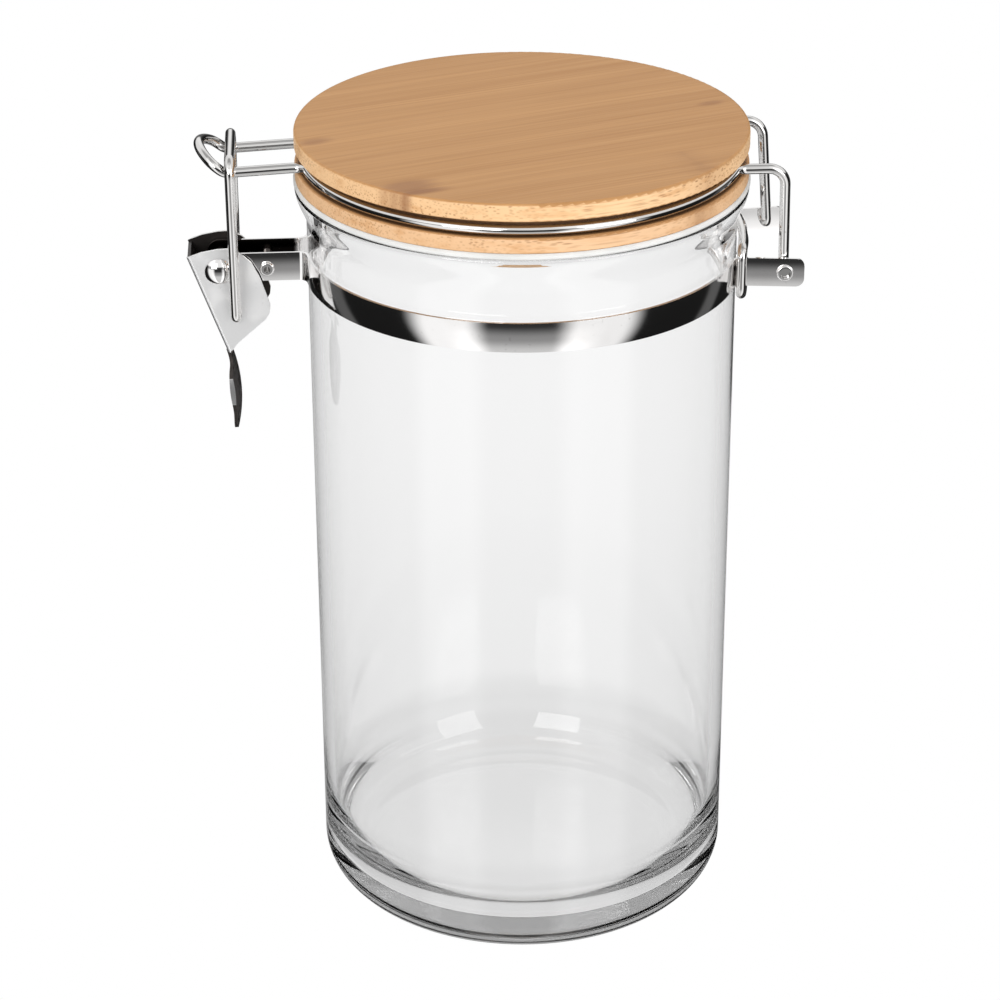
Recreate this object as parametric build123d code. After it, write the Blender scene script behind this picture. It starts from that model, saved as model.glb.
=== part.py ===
from build123d import *
import math
import os

# Lidded glass canister with a bamboo lid and a wire clip closure.
# Millimetres. +Z up, +X towards the hinge, -X towards the latch, +Y to the back.
# The origin is the middle of the flat underside of the jar.

os.makedirs("parts", exist_ok=True)

# ---------------------------------------------------------------- sizes
WIRE_R = 1.25            # all bent wire is 2.5 mm stock
SHEET = 0.7              # clamping band strip
CHEEK = 0.8              # latch lever sheet
RUN = 0.06               # radial clearance of a running fit

# glass
JAR_R = 52.5
JAR_WALL = 2.8
JAR_CORNER = 10.0
JAR_INNER_CORNER = 9.5   # width of the inner corner
JAR_INNER_RISE = 20.0    # and its height: the wall thickens towards the foot
FLOOR_Z = 8.2            # inside floor at its edge
FLOOR_DOME = 0.9         # the floor rises this much in the middle
RIM_R = 55.2
RIM_Z = 192.5
FLARE_Z = 182.5          # the neck starts to open out here

# bamboo lid
LID_R = 55.0
PLATE_LOW = 3.65
GROOVE = 4.0
PLATE_TOP = 4.35
EDGE_ROUND = 0.5
GASKET = 1.6
LOWER_Z = RIM_Z + GASKET                 # underside of the lower plate
GROOVE_Z = LOWER_Z + PLATE_LOW
TOP_Z = GROOVE_Z + GROOVE
LID_TOP = TOP_Z + PLATE_TOP
CORE_R = 51.6
PLUG_R = 47.3
PLUG_Z = 187.0
PLUG_CHAMFER = (2.5, 2.4)   # height and width; the bevel lets the plug swing out past the rim
GASKET_R = 55.4

# lid wire
WIRE_Z = GROOVE_Z + WIRE_R + 0.2         # the ring lies low in the groove
WIRE_RING_R = 53.0
NOSE_Y = 8.6
NOSE_X = -71.7           # the loop starts to turn up here
NOSE_SLOPE = 3.0         # the nose wires fall a little on their way out
NOSE_TILT = 38.0
NOSE_SHOULDER_R = 4.5    # the loop is an oval of three arcs
NOSE_TIP_R = 10.3
WIRE_BEND = 3.0

# hinge
HINGE_X = 62.5
HINGE_X_TOP = 61.8       # the legs lean out a little on their way down
HINGE_X_TOP_FAR = 60.9
HINGE_Y_TOP = 17.1
HINGE_Y_LOW = 14.9
EYELET_R = 2.05
EYELET_H = 0.9           # raised collar round each hinge hole

# clamping band
BAND_Z = 172.6
BAND_H = 7.2
BAND_MID_R = JAR_R + SHEET / 2
BAND_BEND = 2.5
HINGE_Z = BAND_Z
ARM_L_Y = 4.65           # middle of each latch arm
ARM_L_END = -77.0
ARM_R_Y = 17.2           # middle of each hinge arm at the hinge pin
ARM_R_SPLAY = 6.8        # degrees
ARM_R_END = 67.2
ARM_END_ROUND = 3.0
ARM_R_END_ROUND = 2.1
HINGE_END_Y = ARM_R_Y + SHEET / 2 + 0.05     # the wire ends inside the collar

# keeper ring
KEEPER_R = 54.75         # the uprights stand this far from the jar's axis
KEEPER_MID_X = 53.95     # the bars are bowed and pass the glass here
KEEPER_HALF_H = 5.9
KEEPER_BEND = 2.3

# latch
PIVOT_X, PIVOT_Z = -74.1, 172.2
PIVOT_R = 1.3
PIVOT_HEAD_R = 3.35
PIVOT_HEAD_H = 1.3
CHEEK_OUT = 6.5
BAIL_X, BAIL_Z = -70.3, 160.4
BAIL_GAP = 0.95          # slack above the lid wire, used up while the lever passes dead centre
BAIL_TOP_Z = (
    WIRE_Z - (-55.7 - BAIL_X) * math.tan(math.radians(NOSE_SLOPE)) + 2 * WIRE_R + BAIL_GAP
)
BAIL_TOP_Y = 12.5
BAIL_LOW_Y = 8.8
BAIL_END_Y = 5.25
CLAMP_X, CLAMP_Z = -62.4, 172.3
CLAMP_R = 1.4
CLAMP_BORE = 0.8
CLAMP_HEAD_R = 1.8
CLAMP_HEAD_H = 1.15

# cheek outline, offsets from the lever pivot, clockwise from the outer top corner
CHEEK_OUTLINE = [
    (-7.7, 3.7), (-4.1, 5.0), (-0.2, 5.7), (2.55, 5.8), (5.4, 4.5), (7.9, 2.2),
    (9.8, -1.6), (11.25, -6.1), (12.2, -9.2), (12.0, -11.0), (11.0, -12.7),
    (3.7, -19.1), (2.7, -20.6), (1.4, -21.6),
]
TAB_TOP = (1.5, -22.9)
TAB_TIP = (2.3, -44.1)
TAB_HALF_W = 6.3
TAB_DISH_R = 12.5        # across the tab
TAB_BOW_R = 38.0         # along it


# ---------------------------------------------------------------- helpers
def solid(shape):
    """The single solid of a result."""
    found = shape.solids()
    if len(found) != 1:
        raise ValueError(f"expected one solid, got {len(found)}")
    return found[0]


def revolve_profile(wire):
    return solid(revolve(make_face(wire), axis=Axis.Z))


def pipe(path, start, direction, radius=WIRE_R):
    """Round wire swept along a smooth path."""
    profile = Plane(origin=start, z_dir=direction) * Circle(radius)
    return solid(sweep(profile, path=path))


def rod(p, q, radius):
    """Round bar from p to q."""
    p, q = Vector(*p), Vector(*q)
    d = q - p
    return solid(extrude(Plane(origin=p, z_dir=d) * Circle(radius), amount=d.length))


def bend(corner, before, after, radius):
    """Where a bend of this radius leaves the two straights meeting at corner."""
    c = Vector(*corner)
    u = (Vector(*before) - c).normalized()
    v = (Vector(*after) - c).normalized()
    half = math.acos(max(-1.0, min(1.0, u.dot(v)))) / 2
    back = radius / math.tan(half)
    mid = (u + v).normalized()
    centre = c + mid * (radius / math.sin(half))
    return c + u * back, centre - mid * radius, c + v * back


def bent_wire(points, radii):
    """Straights through the points with a round bend at each inner point."""
    edges = []
    here = Vector(*points[0])
    for i in range(1, len(points) - 1):
        a, m, b = bend(points[i], points[i - 1], points[i + 1], radii[i - 1])
        if (a - here).length > 1e-6:
            edges.append(Line(here, a))
        edges.append(ThreePointArc(a, m, b))
        here = b
    edges.append(Line(here, Vector(*points[-1])))
    return edges


def polar(r, degrees):
    return r * math.cos(math.radians(degrees)), r * math.sin(math.radians(degrees))


# ---------------------------------------------------------------- jar
def glass_jar():
    r_in = JAR_R - JAR_WALL
    c45 = math.sqrt(0.5)
    foot = JAR_R - JAR_CORNER
    lip_top = RIM_R - 0.9
    inner_floor = r_in - JAR_INNER_CORNER
    edges = [
        Line((0, 0, 0), (foot, 0, 0)),
        ThreePointArc(
            (foot, 0, 0),
            (foot + JAR_CORNER * c45, 0, JAR_CORNER * (1 - c45)),
            (JAR_R, 0, JAR_CORNER),
        ),
        Line((JAR_R, 0, JAR_CORNER), (JAR_R, 0, FLARE_Z)),
        Spline(
            (JAR_R, 0, FLARE_Z), (JAR_R + 1.2, 0, FLARE_Z + 4.6), (RIM_R, 0, RIM_Z - 0.9),
            tangents=[(0, 0, 1), (0.08, 0, 1)],
        ),
        Spline((RIM_R, 0, RIM_Z - 0.9), (lip_top, 0, RIM_Z), tangents=[(0.08, 0, 1), (-1, 0, 0)]),
        Line((lip_top, 0, RIM_Z), (RIM_R - 2.3, 0, RIM_Z)),
        Spline(
            (RIM_R - 2.3, 0, RIM_Z), (RIM_R - 3.0, 0, RIM_Z - 1.1),
            tangents=[(-1, 0, 0), (-0.2, 0, -1)],
        ),
        Spline(
            (RIM_R - 3.0, 0, RIM_Z - 1.1), (r_in + 0.9, 0, FLARE_Z + 3.9), (r_in, 0, FLARE_Z - 0.8),
            tangents=[(-0.2, 0, -1), (0, 0, -1)],
        ),
        Line((r_in, 0, FLARE_Z - 0.8), (r_in, 0, FLOOR_Z + JAR_INNER_RISE)),
        Spline(
            (r_in, 0, FLOOR_Z + JAR_INNER_RISE),
            (r_in - JAR_INNER_CORNER * (1 - c45), 0, FLOOR_Z + JAR_INNER_RISE * (1 - c45)),
            (inner_floor, 0, FLOOR_Z),
            tangents=[(0, 0, -1), (-1, 0, 0)],
        ),
        Spline(
            (inner_floor, 0, FLOOR_Z), (0, 0, FLOOR_Z + FLOOR_DOME),
            tangents=[(-1, 0, 0), (-1, 0, 0)],
        ),
        Line((0, 0, FLOOR_Z + FLOOR_DOME), (0, 0, 0)),
    ]
    return revolve_profile(edges)


# ---------------------------------------------------------------- lid
def plate_disc(z, height, radius):
    disc = Pos(0, 0, z + height / 2) * Cylinder(radius, height)
    return solid(disc)


def lid_top_plate():
    disc = plate_disc(TOP_Z, PLATE_TOP, LID_R)
    disc = fillet(disc.edges().group_by(Axis.Z)[-1], 0.8)
    disc = fillet(disc.edges().group_by(Axis.Z)[0], EDGE_ROUND)
    return solid(disc)


def lid_lower_plate():
    disc = plate_disc(LOWER_Z, PLATE_LOW, LID_R)
    disc = fillet(disc.edges().group_by(Axis.Z)[-1], EDGE_ROUND)
    disc = fillet(disc.edges().group_by(Axis.Z)[0], 0.3)
    # raised middle that the wire ring lies around
    return solid(disc + plate_disc(GROOVE_Z, GROOVE, CORE_R))


def lid_plug():
    high, wide = PLUG_CHAMFER
    z0 = PLUG_Z
    profile = Polyline(
        (0, 0, z0), (PLUG_R - wide, 0, z0), (PLUG_R, 0, z0 + high), (PLUG_R, 0, LOWER_Z),
        (0, 0, LOWER_Z), close=True,
    )
    return revolve_profile(profile)


def lid_gasket():
    # flat ring on the glass rim with a small lip that grips the plug
    edges = Polyline(
        (PLUG_R, 0, LOWER_Z),
        (PLUG_R, 0, RIM_Z - 0.7),
        (PLUG_R + 0.8, 0, RIM_Z - 0.7),
        (PLUG_R + 1.5, 0, RIM_Z),
        (GASKET_R - 0.5, 0, RIM_Z),
        (GASKET_R, 0, RIM_Z + 0.5),
        (GASKET_R, 0, LOWER_Z - 0.5),
        (GASKET_R - 0.5, 0, LOWER_Z),
        close=True,
    )
    return solid(revolve(make_face(edges), axis=Axis.Z))


def wire_leaves_ring(y, side):
    """Flat bend from the ring to a straight at this y. side is +1 at the hinge, -1 at the latch."""
    s = 1 if y > 0 else -1
    cy = s * (abs(y) + WIRE_BEND)
    cx = side * math.sqrt((WIRE_RING_R + WIRE_BEND) ** 2 - cy**2)
    scale = WIRE_RING_R / (WIRE_RING_R + WIRE_BEND)
    on_ring = (cx * scale, cy * scale)
    on_line = (cx, y)
    to_ring = math.atan2(on_ring[1] - cy, on_ring[0] - cx)
    to_line = math.atan2(y - cy, 0)
    half = (to_ring + to_line) / 2
    if abs(to_ring - to_line) > math.pi:
        half += math.pi
    mid = (cx + WIRE_BEND * math.cos(half), cy + WIRE_BEND * math.sin(half))
    return on_ring, mid, on_line


def lid_wire():
    z = WIRE_Z
    tilt = math.radians(NOSE_TILT)
    edges = []

    # near hinge leg, from its outward bent end up to the level of the ring
    near_ring_h, near_mid_h, near_line_h = wire_leaves_ring(-HINGE_Y_TOP, 1)
    far_ring_h, far_mid_h, far_line_h = wire_leaves_ring(HINGE_Y_TOP, 1)
    leg = bent_wire(
        [
            (HINGE_X, -HINGE_END_Y, HINGE_Z),
            (HINGE_X, -HINGE_Y_LOW, HINGE_Z),
            (HINGE_X_TOP, -HINGE_Y_TOP, z),
            (near_line_h[0], -HINGE_Y_TOP, z),
        ],
        [1.6, 4.2],
    )
    edges += leg
    edges.append(ThreePointArc((*near_line_h, z), (*near_mid_h, z), (*near_ring_h, z)))

    # front half of the ring
    near_ring_n, near_mid_n, near_line_n = wire_leaves_ring(-NOSE_Y, -1)
    a0 = math.degrees(math.atan2(near_ring_h[1], near_ring_h[0]))
    a1 = math.degrees(math.atan2(near_ring_n[1], near_ring_n[0]))
    edges.append(
        ThreePointArc((*near_ring_h, z), (*polar(WIRE_RING_R, (a0 + a1) / 2), z), (*near_ring_n, z))
    )
    edges.append(ThreePointArc((*near_ring_n, z), (*near_mid_n, z), (*near_line_n, z)))

    # nose: straights that fall a little, a bend upwards, then an oval loop in the tilted plane
    slope = math.radians(NOSE_SLOPE)
    shallow_x = near_line_n[0] - 0.9
    corner_z = z - (shallow_x - NOSE_X) * math.tan(slope)
    up = (-math.cos(tilt), 0, math.sin(tilt))
    start = WIRE_BEND * math.tan((tilt + slope) / 2) + 0.3   # the oval starts here on the tilt

    def on_tilt(d, y):
        return (NOSE_X + up[0] * d, y, corner_z + up[2] * d)

    r1, r2, w = NOSE_SHOULDER_R, NOSE_TIP_R, NOSE_Y
    turn = math.acos((w - r1) / (r2 - r1))
    shoulder = on_tilt(start + r1 * math.sin(turn), -(w - r1) - r1 * math.cos(turn))
    shoulder_mid = on_tilt(start + r1 * math.sin(turn / 2), -(w - r1) - r1 * math.cos(turn / 2))
    tip = on_tilt(start + r2 - (r2 - r1) * math.sin(turn), 0)
    edges += bent_wire(
        [
            (*near_line_n, z), (shallow_x, -w, z), (NOSE_X, -w, corner_z), on_tilt(start, -w),
        ],
        [16.0, WIRE_BEND],
    )
    edges.append(ThreePointArc(on_tilt(start, -w), shoulder_mid, shoulder))
    far_shoulder = (shoulder[0], -shoulder[1], shoulder[2])
    edges.append(ThreePointArc(shoulder, tip, far_shoulder))
    edges.append(
        ThreePointArc(
            far_shoulder, (shoulder_mid[0], -shoulder_mid[1], shoulder_mid[2]), on_tilt(start, w)
        )
    )
    far_ring_n, far_mid_n, far_line_n = wire_leaves_ring(NOSE_Y, -1)
    edges += bent_wire(
        [
            on_tilt(start, w), (NOSE_X, w, corner_z), (shallow_x, w, z), (*far_line_n, z),
        ],
        [WIRE_BEND, 16.0],
    )
    edges.append(ThreePointArc((*far_line_n, z), (*far_mid_n, z), (*far_ring_n, z)))

    # rear half of the ring and the far hinge leg
    b0 = math.degrees(math.atan2(far_ring_n[1], far_ring_n[0]))
    b1 = math.degrees(math.atan2(far_ring_h[1], far_ring_h[0]))
    edges.append(
        ThreePointArc((*far_ring_n, z), (*polar(WIRE_RING_R, (b0 + b1) / 2), z), (*far_ring_h, z))
    )
    edges.append(ThreePointArc((*far_ring_h, z), (*far_mid_h, z), (*far_line_h, z)))
    edges += bent_wire(
        [
            (far_line_h[0], HINGE_Y_TOP, z),
            (HINGE_X_TOP_FAR, HINGE_Y_TOP, z),
            (HINGE_X, HINGE_Y_LOW, HINGE_Z),
            (HINGE_X, HINGE_END_Y, HINGE_Z),
        ],
        [4.2, 1.6],
    )
    return pipe(Wire(edges), (HINGE_X, -HINGE_END_Y, HINGE_Z), (0, 1, 0))


# ---------------------------------------------------------------- clamping band
def hinge_arm_line():
    """A point on the middle of the front hinge arm, its direction and its outward normal."""
    b = math.radians(ARM_R_SPLAY)
    point = (HINGE_X, -ARM_R_Y)
    along = (math.cos(b), -math.sin(b))
    out = (-math.sin(b), -math.cos(b))
    return point, along, out


def band_front():
    half = SHEET / 2
    R, r = BAND_MID_R, BAND_BEND

    # latch side: straight arm, flat bend, then the ring
    cl_y = -(ARM_L_Y + r)
    cl_x = -math.sqrt((R + r) ** 2 - cl_y**2)
    left_on_ring = math.degrees(math.atan2(cl_y, cl_x))

    # hinge side: the arm splays, so its bend touches a slanted line
    (px, py), (ux, uy), (nx, ny) = hinge_arm_line()
    qx, qy = px + r * nx, py + r * ny
    b = qx * ux + qy * uy
    c = qx * qx + qy * qy - (R + r) ** 2
    s = -b - math.sqrt(b * b - c)
    if qx + s * ux < 0:
        s = -b + math.sqrt(b * b - c)
    cr_x, cr_y = qx + s * ux, qy + s * uy
    right_on_ring = math.degrees(math.atan2(cr_y, cr_x))
    arm_start = (px + s * ux, py + s * uy)
    reach = (ARM_R_END - px) / ux
    arm_end = (px + reach * ux, py + reach * uy)

    def ring_point(radius, degrees):
        return polar(radius, degrees)

    def side(o):
        """One face of the strip, o mm outwards from its middle, latch end first."""
        pts = []
        y = -ARM_L_Y - o
        pts.append(Line((ARM_L_END, y), (cl_x, y)))
        rr = r - o
        a0, a1 = 90.0, left_on_ring + 180
        a1 = (a1 + 180) % 360 - 180
        am = (a0 + a1) / 2
        pts.append(
            ThreePointArc(
                (cl_x, cl_y + rr),
                (cl_x + polar(rr, am)[0], cl_y + polar(rr, am)[1]),
                (cl_x + polar(rr, a1)[0], cl_y + polar(rr, a1)[1]),
            )
        )
        am = (left_on_ring + right_on_ring) / 2
        pts.append(
            ThreePointArc(
                ring_point(R + o, left_on_ring), ring_point(R + o, am), ring_point(R + o, right_on_ring)
            )
        )
        e0 = right_on_ring + 180
        e1 = math.degrees(math.atan2(-ny, -nx))
        em = (e0 + e1) / 2
        pts.append(
            ThreePointArc(
                (cr_x + polar(rr, e0)[0], cr_y + polar(rr, e0)[1]),
                (cr_x + polar(rr, em)[0], cr_y + polar(rr, em)[1]),
                (cr_x + polar(rr, e1)[0], cr_y + polar(rr, e1)[1]),
            )
        )
        pts.append(
            Line(
                (arm_start[0] + o * nx, arm_start[1] + o * ny),
                (arm_end[0] + o * nx, arm_end[1] + o * ny),
            )
        )
        return pts

    inner, outer = side(-half), side(half)
    start = Line((ARM_L_END, -ARM_L_Y + half), (ARM_L_END, -ARM_L_Y - half))
    end = Line(
        (arm_end[0] - half * nx, arm_end[1] - half * ny),
        (arm_end[0] + half * nx, arm_end[1] + half * ny),
    )
    strip = Pos(0, 0, BAND_Z - BAND_H / 2) * extrude(
        make_face(inner + outer + [start, end]), amount=BAND_H
    )
    strip = solid(strip)

    # rounded arm ends
    corner_l = [
        e for e in strip.edges().filter_by(Axis.Y) if abs(e.center().X - ARM_L_END) < 0.01
    ]
    strip = fillet(corner_l, ARM_END_ROUND)
    corner_r = [
        e
        for e in strip.edges()
        if e.geom_type == GeomType.LINE
        and abs(e.length - SHEET) < 0.01
        and e.center().X > ARM_R_END - 0.2
        and abs(e.tangent_at(0).Z) < 0.01
    ]
    strip = fillet(corner_r, ARM_R_END_ROUND)

    # raised collar round the hinge hole
    face_y = ARM_R_Y + SHEET / 2
    collar = rod((HINGE_X, -face_y + 0.3, HINGE_Z), (HINGE_X, -face_y - EYELET_H, HINGE_Z), EYELET_R)
    collar = fillet(collar.edges().group_by(Axis.Y)[0], 0.4)
    strip = solid(strip + collar)

    # pivot, clamp and hinge holes
    strip = strip - rod((PIVOT_X, -9, PIVOT_Z), (PIVOT_X, 0, PIVOT_Z), PIVOT_R)
    strip = strip - rod((CLAMP_X, -9, CLAMP_Z), (CLAMP_X, 0, CLAMP_Z), CLAMP_R)
    strip = strip - rod((HINGE_X, -22, HINGE_Z), (HINGE_X, -12, HINGE_Z), WIRE_R + RUN)
    return solid(strip)


def band_rear():
    return solid(mirror(band_front(), about=Plane.XZ))


def keeper_ring():
    (px, py), (ux, uy), (nx, ny) = hinge_arm_line()
    # the ring bears on the outer face of each arm, close to the jar
    touch = SHEET / 2 + WIRE_R + 0.02
    qx, qy = px + touch * nx, py + touch * ny
    b = qx * ux + qy * uy
    c = qx * qx + qy * qy - KEEPER_R**2
    s = -b + math.sqrt(b * b - c)
    upright_x, upright_y = qx + s * ux, -(qy + s * uy)
    sag = KEEPER_MID_X - upright_x
    bow_r = (upright_y**2 + sag**2) / (2 * sag)
    bow_x = KEEPER_MID_X - bow_r
    side = math.degrees(math.asin(upright_y / bow_r))
    h, r = KEEPER_HALF_H, KEEPER_BEND
    cut = math.degrees(r / bow_r)

    def at(degrees, z):
        x, y = polar(bow_r, degrees)
        return Vector(bow_x + x, y, BAND_Z + z)

    def corner(sign, z):
        """Bend from a bowed bar to the upright at azimuth sign * side."""
        end = at(sign * (side - cut), z)
        a = math.radians(sign * (side - cut))
        onward = Vector(-math.sin(a) * sign, math.cos(a) * sign, 0)
        turn = Vector(0, 0, -1 if z > 0 else 1)
        c45 = math.sqrt(0.5)
        mid = end + onward * (r * c45) + turn * (r * (1 - c45))
        return end, mid, end + onward * r + turn * r

    path = []
    e, m, f = corner(1, h)
    top_far, far_top = e, f
    path.append(ThreePointArc(e, m, f))
    e, m, f = corner(1, -h)
    path.append(Line(far_top, f))
    path.append(ThreePointArc(f, m, e))
    g, n, k = corner(-1, -h)
    path.append(ThreePointArc(e, at(0, -h), g))
    path.append(ThreePointArc(g, n, k))
    e, m, f = corner(-1, h)
    path.append(Line(k, f))
    path.append(ThreePointArc(f, m, e))
    path.append(ThreePointArc(e, at(0, h), top_far))
    a = math.radians(side - cut)
    return pipe(Wire(path), top_far, (-math.sin(a), math.cos(a), 0))


# ---------------------------------------------------------------- latch
def lever_point(dx, dz):
    return PIVOT_X + dx, PIVOT_Z + dz


def outline_face(points, y):
    """Face in an XZ plane at this y."""
    return make_face(Polyline([(*(p[0],), y, p[1]) for p in points], close=True))


def latch_lever():
    pts = [lever_point(*p) for p in CHEEK_OUTLINE]

    def cheek(y0, y1):
        plate = solid(extrude(outline_face(pts, y0), amount=abs(y1 - y0), dir=(0, 1, 0)))
        corners = [
            e for e in plate.edges().filter_by(Axis.Y)
            if min(abs(e.center().X - x) + abs(e.center().Z - z) for x, z in (pts[5], pts[8], pts[9], pts[10], pts[11])) < 0.01
        ]
        return solid(fillet(corners, 0.9))

    near = cheek(-CHEEK_OUT, -CHEEK_OUT + CHEEK)
    far = cheek(CHEEK_OUT - CHEEK, CHEEK_OUT)

    # web along the outer edge, a little shorter than the cheeks at the top
    ax, az = pts[0]
    bx, bz = pts[-1]
    d = math.hypot(bx - ax, bz - az)
    ux, uz = (bx - ax) / d, (bz - az) / d
    inx, inz = -uz, ux                       # towards the jar
    top = 0.6
    web_pts = [
        (ax + ux * top, az + uz * top),
        (bx, bz),
        (bx + inx * CHEEK, bz + inz * CHEEK),
        (ax + ux * top + inx * CHEEK, az + uz * top + inz * CHEEK),
    ]
    web = solid(
        extrude(outline_face(web_pts, -CHEEK_OUT), amount=2 * CHEEK_OUT, dir=(0, 1, 0))
    )
    body = solid(near + far + web)

    # round the folds between web and cheeks
    folds = []
    for e in body.edges():
        if e.geom_type != GeomType.LINE or e.length < 15:
            continue
        c = e.center()
        off = (c.X - ax) * inx + (c.Z - az) * inz
        if abs(off) < 0.05 and abs(abs(c.Y) - CHEEK_OUT) < 0.05:
            folds.append(e)
    body = fillet(folds, 1.1)

    # thumb tab: a dished leaf hanging from the end of the web
    tx, tz = lever_point(*TAB_TOP)
    ex, ez = lever_point(*TAB_TIP)
    length = math.hypot(ex - tx, ez - tz)
    w = TAB_HALF_W
    leaf = [
        Line((-0.8, -2.6), (-0.8, 2.6)),
        Spline((-0.8, 2.6), (length * 0.2, w * 0.80), (length * 0.45, w), (length * 0.75, w * 0.78), (length, 0),
               tangents=[(0.9, 0.12), (0.02, -1)]),
        Spline((length, 0), (length * 0.75, -w * 0.78), (length * 0.45, -w), (length * 0.2, -w * 0.80), (-0.8, -2.6),
               tangents=[(-0.02, -1), (-0.9, 0.12)]),
    ]
    down = Vector(ex - tx, 0, ez - tz).normalized()
    frame = Plane(origin=(tx, 0, tz), x_dir=down, z_dir=down.cross(Vector(0, 1, 0)))
    prism = solid(extrude(frame * make_face(leaf), amount=8, both=True))
    # the dish faces outwards; a slice of a torus is bowed along the tab and dished across it
    outward = down.cross(Vector(0, 1, 0))
    if outward.X > 0:
        outward = outward * -1
    bow = (length / 2) ** 2 / (2 * TAB_BOW_R)
    centre = Vector(tx, 0, tz) + down * (length / 2) + outward * (TAB_BOW_R - CHEEK - bow)
    seat = Plane(origin=centre, z_dir=(0, 1, 0))
    major = TAB_BOW_R - TAB_DISH_R
    shell = seat * Torus(major, TAB_DISH_R) - seat * Torus(major, TAB_DISH_R - CHEEK)
    tab = solid(prism & shell)

    # neck joining tab and web
    neck_pts = [
        (bx - ux * 1.5, bz - uz * 1.5),
        (bx + 0.05, bz - 2.6),
        (bx + 0.95, bz - 2.6),
        (bx + inx * CHEEK - ux * 1.5, bz + inz * CHEEK - uz * 1.5),
    ]
    neck = solid(extrude(outline_face(neck_pts, -2.6), amount=5.2, dir=(0, 1, 0)))
    lever = solid(body + neck + tab)

    # running holes for the pivot rivet and the bail ends
    lever = lever - rod((PIVOT_X, -9, PIVOT_Z), (PIVOT_X, 9, PIVOT_Z), PIVOT_R + RUN)
    lever = lever - rod((BAIL_X, -9, BAIL_Z), (BAIL_X, 9, BAIL_Z), WIRE_R + RUN)
    return solid(lever)


def latch_bail():
    path = bent_wire(
        [
            (BAIL_X, -BAIL_END_Y, BAIL_Z),
            (BAIL_X, -BAIL_LOW_Y, BAIL_Z),
            (BAIL_X, -BAIL_TOP_Y, BAIL_TOP_Z),
            (BAIL_X, BAIL_TOP_Y, BAIL_TOP_Z),
            (BAIL_X, BAIL_LOW_Y, BAIL_Z),
            (BAIL_X, BAIL_END_Y, BAIL_Z),
        ],
        [1.8, 3.2, 3.2, 1.8],
    )
    return pipe(Wire(path), (BAIL_X, -BAIL_END_Y, BAIL_Z), (0, -1, 0))


def lever_pivot_rivet():
    # both heads stand 0.1 mm off the cheeks so the lever turns freely
    seat = CHEEK_OUT + 0.1
    shaft = rod((PIVOT_X, -seat, PIVOT_Z), (PIVOT_X, seat, PIVOT_Z), PIVOT_R)

    ball_r = (PIVOT_HEAD_R**2 + PIVOT_HEAD_H**2) / (2 * PIVOT_HEAD_H)

    def head(side):
        y0 = side * seat
        y1 = side * (seat + PIVOT_HEAD_H)
        ball = Pos(PIVOT_X, y1 - side * ball_r, PIVOT_Z) * Sphere(ball_r)
        slab = rod((PIVOT_X, y0, PIVOT_Z), (PIVOT_X, y1 + side, PIVOT_Z), PIVOT_HEAD_R)
        return solid(ball & slab)

    return solid(shaft + head(-1) + head(1))


def clamp_pin():
    # tubular rivet through both latch arms, with a domed head on each side
    arm = ARM_L_Y + SHEET / 2
    tube = rod((CLAMP_X, -arm - 0.3, CLAMP_Z), (CLAMP_X, arm + 0.3, CLAMP_Z), CLAMP_R)
    for s in (-1, 1):
        head = rod(
            (CLAMP_X, s * arm, CLAMP_Z), (CLAMP_X, s * (arm + CLAMP_HEAD_H), CLAMP_Z), CLAMP_HEAD_R
        )
        rim = head.edges().group_by(Axis.Y)[-1 if s > 0 else 0]
        tube = tube + fillet(rim, 0.5)
    tube = tube - rod((CLAMP_X, -9, CLAMP_Z), (CLAMP_X, 9, CLAMP_Z), CLAMP_BORE)
    return solid(tube)


# ---------------------------------------------------------------- build
NODES = {
    "glass_jar": glass_jar,
    "lid_top_plate": lid_top_plate,
    "lid_lower_plate": lid_lower_plate,
    "lid_plug": lid_plug,
    "lid_gasket": lid_gasket,
    "lid_wire": lid_wire,
    "band_front": band_front,
    "band_rear": band_rear,
    "keeper_ring": keeper_ring,
    "latch_lever": latch_lever,
    "latch_bail": latch_bail,
    "lever_pivot_rivet": lever_pivot_rivet,
    "clamp_pin": clamp_pin,
}

for name, make in NODES.items():
    shape = make()
    shape.label = name
    export_step(shape, f"parts/{name}.step")
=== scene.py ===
import math

import bmesh
import bpy
from mathutils import Matrix, Vector


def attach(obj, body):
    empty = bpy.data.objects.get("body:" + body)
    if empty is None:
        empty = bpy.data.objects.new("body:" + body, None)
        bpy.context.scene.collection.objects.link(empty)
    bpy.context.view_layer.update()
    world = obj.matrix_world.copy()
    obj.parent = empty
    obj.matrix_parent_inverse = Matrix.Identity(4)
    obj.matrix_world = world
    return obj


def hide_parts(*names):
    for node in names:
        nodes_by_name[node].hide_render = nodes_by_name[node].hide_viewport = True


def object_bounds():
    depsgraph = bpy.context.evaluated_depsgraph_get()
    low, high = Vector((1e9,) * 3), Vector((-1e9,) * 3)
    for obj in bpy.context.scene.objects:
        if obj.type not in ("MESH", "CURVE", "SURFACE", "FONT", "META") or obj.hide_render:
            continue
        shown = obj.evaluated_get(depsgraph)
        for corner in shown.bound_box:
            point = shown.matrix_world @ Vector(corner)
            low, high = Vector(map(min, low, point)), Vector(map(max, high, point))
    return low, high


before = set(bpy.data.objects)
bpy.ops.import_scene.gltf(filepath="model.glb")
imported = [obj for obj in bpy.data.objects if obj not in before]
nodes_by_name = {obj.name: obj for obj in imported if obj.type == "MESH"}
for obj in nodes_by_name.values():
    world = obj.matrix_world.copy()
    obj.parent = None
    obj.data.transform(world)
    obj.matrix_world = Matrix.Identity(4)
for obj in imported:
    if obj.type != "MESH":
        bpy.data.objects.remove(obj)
cad_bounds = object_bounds()

scene = bpy.context.scene

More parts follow.
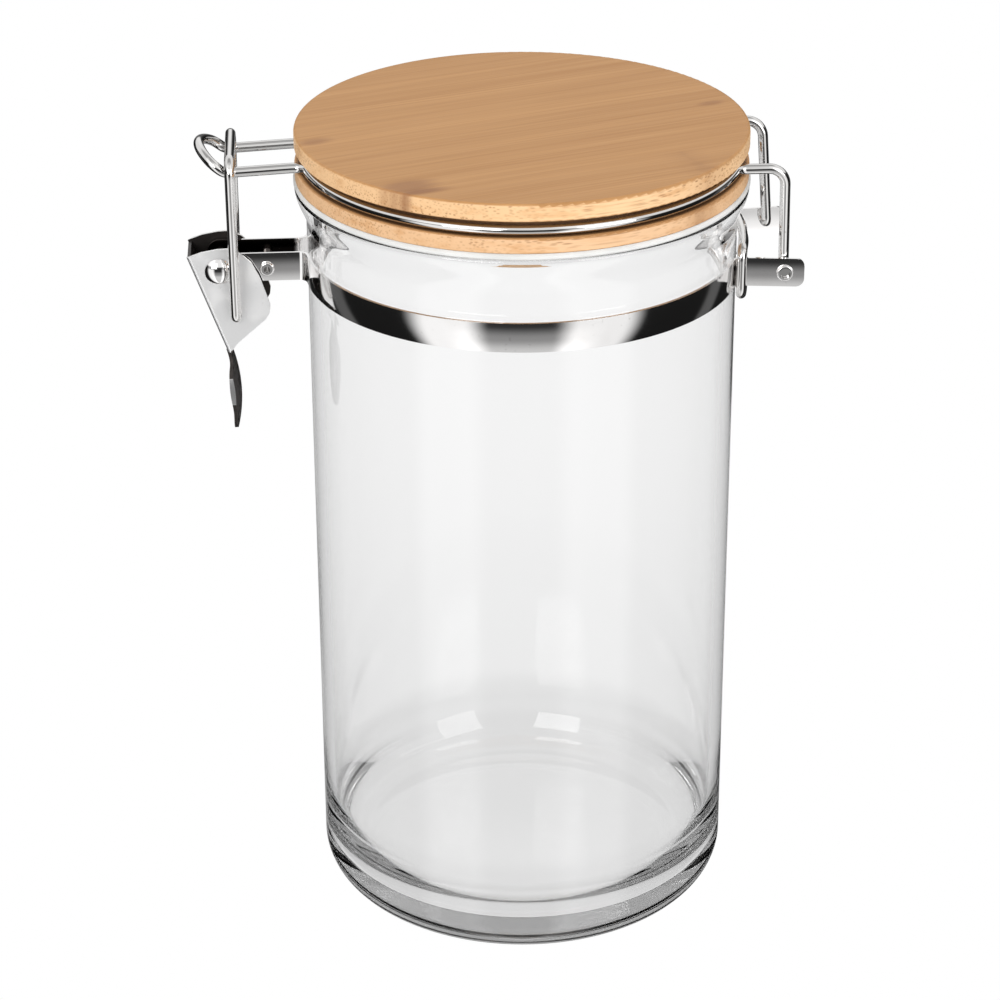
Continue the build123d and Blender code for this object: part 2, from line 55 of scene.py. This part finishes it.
# places on the CAD pieces that the looks need, in metres
MM = 0.001
BAND_MIDDLE = 172.6 * MM         # height of the middle of the clamping band
GROOVE_FLOOR = 197.7 * MM        # top of the lower plate, under the lid wire
GROOVE_RADIUS = 54.15 * MM       # the groove's painted shade reaches up to here, just inside the lid's edge
ARMS_INNER_HALF = 4.45 * MM      # just past the inner faces of the two latch arms
ARMS_START_X = -55.5 * MM        # where the latch arms leave the glass
LEVER_INNER_HALF = 5.8 * MM      # just past the inner faces of the lever's cheeks
TAB_TOP = 149.2 * MM             # just below the upper end of the lever's thumb tab
FOOT_HEIGHT = 20.0 * MM          # lower end of the glass, where it is thickest
LAMELLA = 18.5 * MM              # width of one glued bamboo strip
NODE_SPACING = 168.0 * MM        # between two nodes of one cane


# ---------------------------------------------------------------- node helpers
class Graph:
    """Shorthand for building a node tree. Values may be numbers, tuples, sockets or nodes."""

    def __init__(self, tree):
        self.tree = tree
        self.nodes = tree.nodes
        self.links = tree.links

    def add(self, kind, inputs=None, **props):
        node = self.nodes.new(kind)
        for key, value in props.items():
            setattr(node, key, value)
        for key, value in (inputs or {}).items():
            self.put(node, key, value)
        return node

    def put(self, node, key, value):
        socket = node.inputs[key]
        if isinstance(value, bpy.types.NodeSocket):
            self.links.new(value, socket)
        elif isinstance(value, bpy.types.Node):
            self.links.new(value.outputs[0], socket)
        else:
            socket.default_value = value

    def math(self, operation, a, b=0.0, clamp=False):
        node = self.add("ShaderNodeMath", {0: a, 1: b}, operation=operation, use_clamp=clamp)
        return node.outputs[0]

    def plus(self, a, b, clamp=False):
        return self.math("ADD", a, b, clamp=clamp)

    def minus(self, a, b):
        return self.math("SUBTRACT", a, b)

    def times(self, a, b):
        return self.math("MULTIPLY", a, b)

    def over(self, a, b):
        return self.math("DIVIDE", a, b)

    def flip(self, a):
        return self.math("SUBTRACT", 1.0, a)

    def absolute(self, a):
        return self.math("ABSOLUTE", a)

    def dot(self, a, b):
        node = self.add("ShaderNodeVectorMath", {0: a, 1: b}, operation="DOT_PRODUCT")
        return node.outputs["Value"]

    def xyz(self, x=0.0, y=0.0, z=0.0):
        return self.add("ShaderNodeCombineXYZ", {0: x, 1: y, 2: z}).outputs[0]

    def split(self, vector):
        return self.add("ShaderNodeSeparateXYZ", {0: vector}).outputs

    def ramp(self, factor, stops):
        node = self.add("ShaderNodeValToRGB", {0: factor})
        ramp = node.color_ramp
        while len(ramp.elements) < len(stops):
            ramp.elements.new(0.5)
        for element, (place, colour) in zip(ramp.elements, stops):
            element.position = place
            element.color = colour if len(colour) == 4 else (*colour, 1)
        return node.outputs[0]

    def step(self, value, low, high):
        """0 below low, 1 above high, smooth between."""
        node = self.add(
            "ShaderNodeMapRange",
            {0: value, 1: low, 2: high, 3: 0.0, 4: 1.0},
            interpolation_type="SMOOTHSTEP",
        )
        return node.outputs[0]

    def edge(self, value, place, soft):
        """0 below place, 1 above it, with a soft edge of that half width."""
        return self.step(value, place - soft, place + soft)

    def remap(self, value, low, high, to_low, to_high):
        return self.add(
            "ShaderNodeMapRange", {0: value, 1: low, 2: high, 3: to_low, 4: to_high}
        ).outputs[0]

    def noise(self, vector, scale, detail=2.0, rough=0.5):
        return self.add(
            "ShaderNodeTexNoise",
            {"Vector": vector, "Scale": scale, "Detail": detail, "Roughness": rough},
        ).outputs[0]

    def voronoi(self, vector, scale):
        return self.add("ShaderNodeTexVoronoi", {"Vector": vector, "Scale": scale})

    def white(self, value):
        return self.add("ShaderNodeTexWhiteNoise", {"W": value}, noise_dimensions="1D").outputs[0]

    def mix(self, factor, a, b, blend="MIX"):
        node = self.add("ShaderNodeMix", data_type="RGBA", blend_type=blend)
        self.put(node, 0, factor)
        self.put(node, 6, a if not isinstance(a, tuple) or len(a) == 4 else (*a, 1))
        self.put(node, 7, b if not isinstance(b, tuple) or len(b) == 4 else (*b, 1))
        return node.outputs[2]

    def bump(self, height, strength, distance, normal=None):
        node = self.add("ShaderNodeBump", {"Strength": strength, "Distance": distance,
                                           "Height": height})
        if normal is not None:
            self.put(node, "Normal", normal)
        return node.outputs[0]


def new_material(name):
    material = bpy.data.materials.new(name)
    material.use_nodes = True
    graph = Graph(material.node_tree)
    graph.nodes.clear()
    shader = graph.add("ShaderNodeBsdfPrincipled")
    out = graph.add("ShaderNodeOutputMaterial")
    graph.links.new(shader.outputs[0], out.inputs[0])
    where = graph.add("ShaderNodeTexCoord").outputs["Object"]
    return material, graph, shader, where


# ---------------------------------------------------------------- materials
def bamboo(name, turn, tone, dots, nodes_dark, edge_painted_light, knots=(), groove_z=None):
    """Laminated bamboo. Fibres run along one direction, so the same 3-D pattern gives streaks
    along the grain and speckles where an edge cuts across it.

    turn is the grain direction in degrees, tone the base colour, dots the darkness of the fibre
    ends on the cut edges, nodes_dark that of the cane nodes, edge_painted_light how much paler the
    edges are painted, as painted light from the front."""
    material, g, shader, where = new_material(name)
    c, s = math.cos(math.radians(turn)), math.sin(math.radians(turn))
    along = g.dot(where, (c, s, 0))
    across = g.dot(where, (-s, c, 0))
    height = g.split(where)[2]

    # one glued strip after the other, each with its own tone and place of the nodes
    strip = g.math("FLOOR", g.over(g.plus(across, 0.2), LAMELLA))
    strip_tone = g.white(strip)
    strip_place = g.white(g.plus(strip, 31.7))

    wander = g.noise(g.xyz(g.times(along, 9), g.times(across, 30), 0), 1.0, 2)
    bent = g.plus(across, g.times(g.minus(wander, 0.5), 0.0016))

    def streaks(a, b, detail):
        p = g.xyz(g.times(along, a), g.times(bent, b),
                  g.plus(g.times(height, b), g.times(strip, 3.1)))
        return g.noise(p, 1.0, detail, 0.55)

    broad = streaks(7, 230, 4)
    fine = streaks(14, 1300, 3)
    hair = streaks(30, 3200, 1)

    # dark fibre ends, in patches
    cells = g.voronoi(g.xyz(g.times(along, 26), g.times(bent, 1700), g.times(height, 1700)), 1.0)
    fibre = g.flip(g.step(cells.outputs["Distance"], 0.12, 0.50))
    patch = g.step(g.noise(g.xyz(g.times(along, 22), g.times(across, 60),
                                 g.times(height, 260)), 1.0, 2), 0.42, 0.62)
    fibre = g.times(fibre, g.plus(0.35, g.times(patch, 0.65)))

    # bamboo nodes: a smudged darker band across each strip
    phase = g.math("FRACT", g.plus(g.over(g.plus(along, 0.3), NODE_SPACING), strip_place))
    off = g.absolute(g.minus(phase, 0.5))
    ragged = g.noise(g.xyz(g.times(along, 60), g.times(bent, 420), height), 1.0, 3)
    off = g.plus(off, g.times(g.minus(ragged, 0.5), 0.05))
    smudge = g.flip(g.step(off, 0.004, 0.042))
    core = g.flip(g.step(off, 0.0, 0.010))
    chosen = g.step(g.white(g.plus(strip, 77.3)), 0.25, 0.45)
    smudge = g.times(smudge, chosen)
    core = g.times(core, chosen)

    base = g.ramp(broad, [
        (0.26, (tone[0] * 0.86, tone[1] * 0.80, tone[2] * 0.70)),
        (0.50, tone),
        (0.76, (min(tone[0] * 1.12, 1), min(tone[1] * 1.14, 1), min(tone[2] * 1.18, 1))),
    ])
    base = g.mix(g.times(g.step(fine, 0.40, 0.66), 0.30), base,
                 (tone[0] * 0.74, tone[1] * 0.66, tone[2] * 0.52))
    base = g.mix(g.times(g.step(hair, 0.35, 0.70), 0.16), base,
                 (tone[0] * 1.25, tone[1] * 1.28, tone[2] * 1.32))
    base = g.mix(g.times(g.minus(strip_tone, 0.5), 0.34), base,
                 (tone[0] * 0.70, tone[1] * 0.62, tone[2] * 0.50))

    # painted light: the cut edges are painted paler, as if lit more strongly from the front; the
    # dark fibre ends on them are the wood's own
    normal = g.add("ShaderNodeNewGeometry").outputs["Normal"]
    up = g.absolute(g.split(normal)[2])
    side = g.flip(g.step(up, 0.25, 0.75))
    facing = g.absolute(g.dot(normal, (c, s, 0)))
    endgrain = g.times(side, g.step(facing, 0.10, 0.75))
    base = g.mix(g.times(side, edge_painted_light), base,
                 (min(tone[0] * 1.9, 0.95), min(tone[1] * 2.5, 0.9), min(tone[2] * 3.9, 0.75)))
    base = g.mix(g.times(fibre, g.plus(0.10, g.times(side, dots))),
                 base, (0.24, 0.100, 0.034))
    mottle = g.noise(g.xyz(g.times(along, 70), g.times(across, 240),
                           g.times(height, 420)), 1.0, 3, 0.6)
    base = g.mix(g.times(g.times(side, g.step(mottle, 0.48, 0.72)), 0.45),
                 base, (0.52, 0.24, 0.075))
    base = g.mix(g.times(endgrain, 0.22), base, (0.50, 0.27, 0.10))
    base = g.mix(g.times(smudge, nodes_dark), base, (0.33, 0.155, 0.058))
    base = g.mix(g.times(core, nodes_dark * 0.5), base, (0.19, 0.08, 0.03))

    # single knots
    for u, v, long, wide, depth in knots:
        du = g.over(g.minus(along, u), long)
        dv = g.over(g.minus(bent, v), wide)
        d = g.math("SQRT", g.plus(g.times(du, du), g.times(dv, dv)))
        d = g.plus(d, g.times(g.minus(ragged, 0.5), 0.9))
        spot = g.times(g.flip(g.step(d, 0.25, 1.05)), depth)
        base = g.mix(spot, base, (0.26, 0.110, 0.042))

    # painted shade: the slot that holds the wire is painted dark inside
    if groove_z is not None:
        px, py, pz = g.split(where)
        radius = g.math("SQRT", g.plus(g.times(px, px), g.times(py, py)))
        slot = g.times(g.flip(g.edge(radius, GROOVE_RADIUS, 0.35 * MM)),
                       g.step(pz, groove_z - 0.6 * MM, groove_z))
        base = g.mix(g.times(slot, 0.88), base, (0.10, 0.045, 0.018))
    g.put(shader, "Base Color", base)

    g.put(shader, "Roughness", g.plus(0.40, g.times(fine, 0.16)))
    shader.inputs["Specular IOR Level"].default_value = 0.38
    relief = g.plus(g.times(fine, 0.7), g.times(hair, 0.3))
    relief = g.minus(relief, g.times(fibre, 0.6))
    g.put(shader, "Normal", g.bump(relief, 0.22, 0.00018))
    return material


def steel(name, colour, rough, brush, wave, satin=0.0, crown=0.0, inside=None):
    """Polished stainless steel: faint drawing lines, a few smears, dots of grime and scratches.

    satin adds a fine grain, crown a convex profile across the strip, and inside ("arms" or
    "lever") painted shade: a near-black inner side."""
    material, g, shader, where = new_material(name)
    x, y, z = g.split(where)
    lines = g.noise(g.xyz(g.times(x, 260), g.times(y, 260), g.times(z, 5200)), 1.0, 2)
    smear = g.step(g.noise(where, 95, 3), 0.46, 0.74)
    grime = g.step(g.noise(where, 900, 2, 0.6), 0.66, 0.80)
    scratched = g.xyz(g.times(g.plus(x, z), 3800), g.times(y, 90), g.times(z, 300))
    scratch = g.step(g.noise(scratched, 1.0, 1), 0.72, 0.77)
    dull = (colour[0] * 0.90, colour[1] * 0.89, colour[2] * 0.88)
    tint = g.mix(g.times(smear, 0.5), colour, dull)
    tint = g.mix(g.times(grime, 0.5), tint,
                 (colour[0] * 0.55, colour[1] * 0.53, colour[2] * 0.50))
    # painted shade: the insides of the folded lever and of the latch arms are painted near black
    if inside:
        wide = g.absolute(y)
    if inside == "arms":
        arms_painted_shade = g.times(g.flip(g.edge(wide, ARMS_INNER_HALF, 0.05 * MM)),
                         g.flip(g.edge(x, ARMS_START_X, 0.5 * MM)))
        tint = g.mix(arms_painted_shade, tint, (0.08, 0.072, 0.068))
    if inside == "lever":
        faces_out = g.split(g.add("ShaderNodeTexCoord").outputs["Normal"])[0]
        lever_painted_shade = g.times(g.flip(g.edge(wide, LEVER_INNER_HALF, 0.05 * MM)),
                         g.step(faces_out, -0.50, -0.30))
        # below TAB_TOP the outer side of the lever's thumb tab is painted a darker grey
        tab = g.flip(g.edge(z, TAB_TOP, 0.4 * MM))
        tint = g.mix(lever_painted_shade, tint, (0.045, 0.040, 0.038))
        tint = g.mix(g.times(tab, g.flip(lever_painted_shade)), tint, (0.30, 0.30, 0.30))
    g.put(shader, "Base Color", tint)
    shader.inputs["Metallic"].default_value = 1.0
    r = g.plus(rough, g.times(smear, rough * 0.35))
    r = g.plus(r, g.times(lines, brush * 0.08))
    r = g.plus(r, g.times(scratch, 0.05), clamp=True)
    g.put(shader, "Roughness", r)
    n = g.bump(lines, brush, 0.00002)
    n = g.bump(g.noise(where, 42, 1), wave, 0.0005, n)
    if satin:
        n = g.bump(g.noise(where, 4200, 2), satin, 0.00001, n)
    if crown:
        # the strip is rolled slightly convex across its height
        off = g.minus(z, BAND_MIDDLE)
        n = g.bump(g.times(g.times(off, off), -crown), 1.0, 1.0, n)
    g.put(shader, "Normal", n)
    return material


def clear_glass():
    """Clear glass with a slight grey absorption, so thick places read darker."""
    material, g, shader, where = new_material("canister_glass")
    x, y, z = g.split(where)
    shader.inputs["Transmission Weight"].default_value = 1.0
    shader.inputs["IOR"].default_value = 1.48
    # a trace of grey on the surface, a little stronger in the foot
    foot = g.flip(g.step(z, 0.0, FOOT_HEIGHT))
    g.put(shader, "Base Color", g.mix(foot, (0.990, 0.990, 0.990), (0.984, 0.984, 0.984)))
    smudge = g.step(g.noise(where, 26, 4, 0.6), 0.55, 0.82)
    calm = g.step(z, FOOT_HEIGHT + 2 * MM, 2 * FOOT_HEIGHT)
    g.put(shader, "Roughness", g.times(g.times(smudge, calm), 0.008))
    # slow waviness of a moulded wall, gone in the foot, where light bounces many times
    wave = g.noise(g.xyz(g.times(x, 34), g.times(y, 34), g.times(z, 12)), 1.0, 1)
    g.put(shader, "Normal", g.bump(g.times(wave, calm), 0.05, 0.0012))
    inside = g.add("ShaderNodeVolumeAbsorption")
    inside.inputs["Color"].default_value = (0.625, 0.625, 0.625, 1)
    inside.inputs["Density"].default_value = 24.0
    out = [node for node in g.nodes if node.bl_idname == "ShaderNodeOutputMaterial"][0]
    g.links.new(inside.outputs[0], out.inputs["Volume"])
    return material


def silicone():
    """Milky translucent silicone."""
    material, g, shader, where = new_material("gasket_silicone")
    cloud = g.noise(where, 90, 3)
    fleck = g.step(g.noise(where, 1500, 2), 0.66, 0.78)
    base = g.mix(g.step(cloud, 0.3, 0.75), (0.78, 0.78, 0.765), (0.66, 0.665, 0.65))
    g.put(shader, "Base Color", g.mix(g.times(fleck, 0.25), base, (0.62, 0.62, 0.60)))
    shader.inputs["Transmission Weight"].default_value = 0.12
    shader.inputs["IOR"].default_value = 1.41
    shader.inputs["Subsurface Weight"].default_value = 0.35
    shader.inputs["Subsurface Radius"].default_value = (0.0016, 0.0016, 0.0016)
    shader.inputs["Subsurface Scale"].default_value = 1.0
    g.put(shader, "Roughness", g.remap(g.noise(where, 500, 2), 0.3, 0.7, 0.30, 0.42))
    g.put(shader, "Normal", g.bump(g.noise(where, 1800, 2), 0.10, 0.00005))
    return material


# middle along and across the grain, half length, half width, depth of tone
KNOTS = (
    (-0.0414, -0.0290, 0.0090, 0.0060, 0.62),
    (-0.0395, -0.0330, 0.0080, 0.0026, 0.75),
    (-0.0500, 0.0085, 0.0060, 0.0030, 0.55),
    (0.0480, -0.0060, 0.0050, 0.0022, 0.50),
)

top_wood = bamboo("bamboo_top", 20.5, (0.475, 0.245, 0.090), 0.72, 0.22, 0.72, KNOTS)
low_wood = bamboo("bamboo_lower", 17.0, (0.500, 0.265, 0.108), 0.60, 0.35, 0.50, (), GROOVE_FLOOR)
plug_wood = bamboo("bamboo_plug", 66.0, (0.570, 0.330, 0.155), 0.30, 0.35, 0.45)
wire_steel = steel("wire_steel", (0.70, 0.69, 0.68), 0.045, 0.03, 0.02)
band_steel = steel("band_steel", (0.80, 0.79, 0.785), 0.075, 0.04, 0.05, 0.0, 25.0, "arms")
lever_steel = steel("lever_steel", (0.97, 0.97, 0.97), 0.46, 0.02, 0.04, 0.10, 0.0, "lever")
pin_steel = steel("pin_steel", (0.80, 0.79, 0.785), 0.05, 0.04, 0.02)
glass = clear_glass()
rubber = silicone()

LOOKS = {
    "glass_jar": glass,
    "lid_top_plate": top_wood,
    "lid_lower_plate": low_wood,
    "lid_plug": plug_wood,
    "lid_gasket": rubber,
    "lid_wire": wire_steel,
    "band_front": band_steel,
    "band_rear": band_steel,
    "keeper_ring": wire_steel,
    "latch_lever": lever_steel,
    "latch_bail": wire_steel,
    "lever_pivot_rivet": pin_steel,
    "clamp_pin": pin_steel,
}


def parts_of(name):
    found = nodes_by_name[name]
    return found if isinstance(found, (list, tuple)) else [found]


for name, material in LOOKS.items():
    for obj in parts_of(name):
        for slot in obj.material_slots:
            slot.material = material


# ---------------------------------------------------------------- jar
def arc_points(cx, cz, r, a0, a1, count):
    return [
        (cx + r * math.cos(math.radians(a0 + (a1 - a0) * i / count)),
         cz + r * math.sin(math.radians(a0 + (a1 - a0) * i / count)))
        for i in range(1, count + 1)
    ]


def curve_points(p0, p1, p2, p3, count):
    out = []
    for i in range(1, count + 1):
        t = i / count
        u = 1 - t
        out.append(tuple(
            u ** 3 * p0[k] + 3 * u * u * t * p1[k] + 3 * u * t * t * p2[k] + t ** 3 * p3[k]
            for k in (0, 1)))
    return out


def straight(p, q, count):
    return [(p[0] + (q[0] - p[0]) * i / count, p[1] + (q[1] - p[1]) * i / count)
            for i in range(1, count + 1)]


def turned(name, profile, segments):
    """Closed body of revolution; the profile runs from the axis round to the axis, in mm."""
    mesh = bpy.data.meshes.new(name)
    obj = bpy.data.objects.new(name, mesh)
    bpy.context.collection.objects.link(obj)
    bm = bmesh.new()
    rings = []
    for r, z in profile:
        if r < 1e-6:
            rings.append([bm.verts.new((0, 0, z * MM))])
        else:
            rings.append([
                bm.verts.new((r * MM * math.cos(2 * math.pi * i / segments),
                              r * MM * math.sin(2 * math.pi * i / segments), z * MM))
                for i in range(segments)])
    for a, b in zip(rings, rings[1:]):
        for i in range(segments):
            j = (i + 1) % segments
            if len(a) == 1:
                bm.faces.new((a[0], b[j], b[i]))
            elif len(b) == 1:
                bm.faces.new((a[i], a[j], b[0]))
            else:
                bm.faces.new((a[i], a[j], b[j], b[i]))
    bmesh.ops.recalc_face_normals(bm, faces=bm.faces)
    for face in bm.faces:
        face.smooth = True
    bm.to_mesh(mesh)
    bm.free()
    return obj


def blown_jar():
    """The glass: rounded foot, fire-polished lip, domed floor with an oval inner corner."""
    # millimetres, as in the CAD: radii first, then heights
    body, wall, foot, cup, corner = 52.5, 49.7, 42.5, 40.2, 10.0
    rim, lip_out, lip_in = 55.2, 54.3, 52.9
    floor, dome, rise, flare, top = 8.2, 9.1, 20.0, 182.5, 192.5
    side_end = flare - 0.8
    profile = [(0, 0)]
    # underside, rounded foot and outer wall
    profile += straight((0, 0), (foot, 0), 10)
    profile += arc_points(foot, corner, corner, -90, 0, 26)
    profile += straight((body, corner), (body, flare), 24)
    # neck and fire-polished lip
    profile += curve_points((body, flare), (body, 186.2), (54.9, 188.4), (rim, 191.6), 16)
    profile += curve_points((rim, 191.6), (55.25, 192.15), (54.85, top), (lip_out, top), 6)
    profile += straight((lip_out, top), (lip_in, top), 2)
    profile += curve_points((lip_in, top), (52.45, top), (52.3, 192.0), (52.2, 191.4), 6)
    profile += curve_points((52.2, 191.4), (51.9, 189.0), (wall, 185.2), (wall, side_end), 16)
    # inner wall, inner corner and domed floor
    profile += straight((wall, side_end), (wall, floor + rise), 24)
    profile += curve_points((wall, floor + rise), (wall, floor + 0.45 * rise),
                            (cup + 0.55 * (wall - cup), floor), (cup, floor), 30)
    profile += curve_points((cup, floor), (27, floor), (14, dome), (0, dome), 14)
    jar = turned("jar_glass_body", profile, 288)
    jar.data.materials.append(glass)
    jar.visible_shadow = False
    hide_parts("glass_jar")
    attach(jar, "jar")


blown_jar()


# ---------------------------------------------------------------- stage and light
def stage_floor():
    """Plain white paper, evenly lit. Gloss and glass see the world in its place."""
    mesh = bpy.data.meshes.new("stage_floor")
    floor = bpy.data.objects.new("stage_floor", mesh)
    bpy.context.collection.objects.link(floor)
    bm = bmesh.new()
    bmesh.ops.create_grid(bm, x_segments=1, y_segments=1, size=6.0)
    bm.to_mesh(mesh)
    bm.free()
    floor.location.z = cad_bounds[0][2] - 0.0002
    material = bpy.data.materials.new("floor_paper")
    material.use_nodes = True
    g = Graph(material.node_tree)
    g.nodes.clear()
    paper = g.add("ShaderNodeEmission", {"Color": (1.0, 1.0, 1.0, 1.0), "Strength": 1.0})
    out = g.add("ShaderNodeOutputMaterial")
    g.links.new(paper.outputs[0], out.inputs[0])
    mesh.materials.append(material)
    floor.visible_glossy = False
    floor.visible_transmission = False


stage_floor()


def studio_world():
    """White surround. Gloss sees soft boxes with dark gaps, and glass sees white all round."""
    world = bpy.data.worlds.new("studio")
    scene.world = world
    world.use_nodes = True
    g = Graph(world.node_tree)
    g.nodes.clear()
    ray = g.add("ShaderNodeLightPath").outputs
    toward = g.add("ShaderNodeTexCoord").outputs["Generated"]
    x, y, z = g.split(toward)
    # azimuth from the front, -180 .. 180
    azimuth = g.math("DEGREES", g.math("ARCTAN2", x, g.times(y, -1.0)))
    around = g.absolute(azimuth)

    def lobe(centre, half, soft, level):
        d = g.absolute(g.minus(azimuth, centre))
        inside = g.flip(g.step(d, half - soft, half + soft))
        return g.times(inside, level)

    total = 0.012
    for centre, half, soft, level in (
        (-44, 17, 7, 1.15), (38, 19, 7, 1.05),
        (-116, 7, 3, 0.10), (116, 7, 3, 0.10),
    ):
        total = g.plus(total, lobe(centre, half, soft, level))
    total = g.plus(total, g.times(g.step(around, 160, 168), 0.30))
    # the card in front is dark at eye level and lighter towards the floor
    down = g.times(z, -1.0)
    card = g.plus(g.times(g.step(down, 0.10, 0.42), 0.28), g.times(g.step(down, 0.42, 0.70), 0.42))
    card = g.plus(card, 0.02)
    total = g.plus(total, g.times(lobe(-2, 32, 14, 1.0), card))
    # above the horizon: a dark gap, a large soft box overhead, and a dimmer crown
    above = g.times(g.step(z, 0.20, 0.34), 0.95)
    above = g.minus(above, g.times(g.step(z, 0.80, 0.94), 0.55))
    above = g.plus(above, 0.03)
    is_up = g.step(z, -0.04, 0.12)
    gloss = g.plus(g.times(total, g.flip(g.times(is_up, 0.7))), g.times(above, is_up))

    # through glass: white on every side, a little dimmer towards the floor
    slant = g.step(z, -0.58, -0.40)
    through = g.plus(0.84, g.times(slant, 0.16))

    level = g.mix(ray["Is Glossy Ray"], (0.98, 0.98, 0.98), gloss)
    level = g.mix(ray["Is Transmission Ray"], level, through)
    level = g.mix(ray["Is Camera Ray"], level, (1.0, 1.0, 1.0))
    back = g.add("ShaderNodeBackground", {"Color": level, "Strength": 1.0})
    out = g.add("ShaderNodeOutputWorld")
    g.links.new(back.outputs[0], out.inputs[0])


studio_world()


def soft_box(name, place, size, power, target=(0, 0, 0.12)):
    light = bpy.data.lights.new(name, "AREA")
    light.shape = "RECTANGLE"
    light.size, light.size_y = size
    light.energy = power
    obj = bpy.data.objects.new(name, light)
    bpy.context.collection.objects.link(obj)
    obj.location = place
    obj.rotation_euler = (Vector(target) - Vector(place)).to_track_quat("-Z", "Y").to_euler()


soft_box("key_box", (-0.7, -1.3, 0.75), (0.8, 0.8), 9)
soft_box("fill_box", (0.9, -1.1, 0.55), (0.7, 0.9), 6)


# ---------------------------------------------------------------- camera
def photo_camera():
    """The reference view: metres, radians, a long lens a little above the lid."""
    yaw = math.radians(3.9)
    eye = Vector((0, -0.7204, 0.4606))
    aim = Vector((-0.0056, 0, 0.1048))
    roll = 0.004
    turn = Matrix.Rotation(-yaw, 4, "Z")
    forward = (aim - eye).normalized()
    right = forward.cross(Vector((0, 0, 1))).normalized()
    up = right.cross(forward)
    right, up = (right * math.cos(roll) - up * math.sin(roll),
                 up * math.cos(roll) + right * math.sin(roll))
    m = Matrix((right, up, -forward)).transposed().to_4x4()
    m.translation = eye
    data = bpy.data.cameras.new("photo_camera")
    data.sensor_width = 36
    data.lens = 113.4
    data.clip_start = 0.01
    data.clip_end = 50
    camera = bpy.data.objects.new("photo_camera", data)
    bpy.context.collection.objects.link(camera)
    camera.matrix_world = turn @ m
    scene.camera = camera


photo_camera()
scene.view_settings.view_transform = "Standard"
scene.view_settings.look = "None"
scene.cycles.max_bounces = 24
scene.cycles.transmission_bounces = 22
scene.cycles.glossy_bounces = 12
